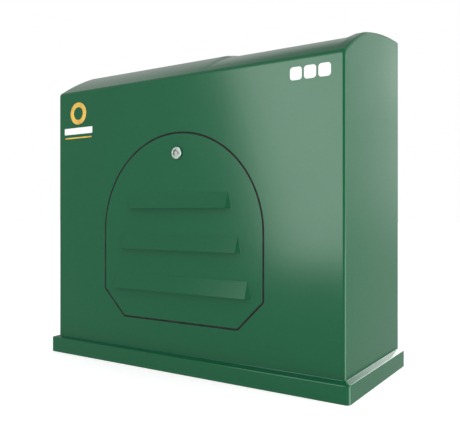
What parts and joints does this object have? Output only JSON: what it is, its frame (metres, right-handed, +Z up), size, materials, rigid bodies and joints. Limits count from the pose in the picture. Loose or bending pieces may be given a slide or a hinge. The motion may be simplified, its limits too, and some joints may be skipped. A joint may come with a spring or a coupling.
{
  "type": "gas meter housing",
  "caption": "Wall-backed moulded plastic meter cover with sloping roof, plinth and a bottom-hinged arched hatch with louvres and a triangular-key lock.",
  "frame": {"origin": "middle of the footprint on the ground, at the foot of the plinth", "axes": "+X to the right seen from the front, -Y out of the front face, +Y towards the building's wall, +Z up"},
  "size_m": [0.756, 0.315, 0.704],
  "materials": {
    "green_grp": "satin moulded glass-reinforced plastic",
    "zinc_steel": "zinc plated steel",
    "stainless": "plain stainless steel",
    "lock_chrome": "satin chrome die casting",
    "black_rubber": "matt black rubber",
    "gold_transfer": "gold vinyl",
    "white_transfer": "white vinyl"
  },
  "bodies": {
    "shell": {"body_shell": "green_grp", "wall_bracket_lower_left": "zinc_steel", "wall_bracket_upper_left": "zinc_steel", "wall_bracket_lower_right": "zinc_steel", "wall_bracket_upper_right": "zinc_steel", "bracket_studs": "zinc_steel", "bracket_washers": "zinc_steel", "bracket_nuts": "zinc_steel", "hinge_bracket_left": "zinc_steel", "hinge_bracket_right": "zinc_steel", "hinge_pin_left": "stainless", "hinge_pin_right": "stainless", "hinge_clips": "stainless", "hinge_studs": "zinc_steel", "hinge_washers": "zinc_steel", "hinge_nuts": "zinc_steel", "keeper_plate": "stainless", "keeper_screws": "stainless", "badge_emblem": "gold_transfer", "badge_strip": "white_transfer", "utility_label": "white_transfer"},
    "hatch": {"hatch_panel": "green_grp", "hatch_edge_seal": "black_rubber", "hinge_arm_left": "zinc_steel", "hinge_arm_right": "zinc_steel", "arm_studs": "zinc_steel", "arm_washers": "zinc_steel", "arm_nuts": "zinc_steel", "lock_housing": "lock_chrome", "lock_gasket": "black_rubber", "lock_back_nut": "zinc_steel"},
    "lock": {"lock_spindle": "lock_chrome", "spindle_seal": "black_rubber", "lock_cam": "zinc_steel", "cam_washer": "zinc_steel", "cam_screw": "zinc_steel"}
  },
  "joints": [
    {"name": "hatch_fold", "type": "hinge", "parent": "shell", "child": "hatch", "pos_m": [-0.005, -0.1355, 0.073], "axis": [1, 0, 0], "range_deg": [0, 90]},
    {"name": "lock_turn", "type": "hinge", "parent": "hatch", "child": "lock", "pos_m": [-0.005, -0.1341, 0.4566], "axis": [0, -1, 0], "range_deg": [0, 90]}
  ]
}
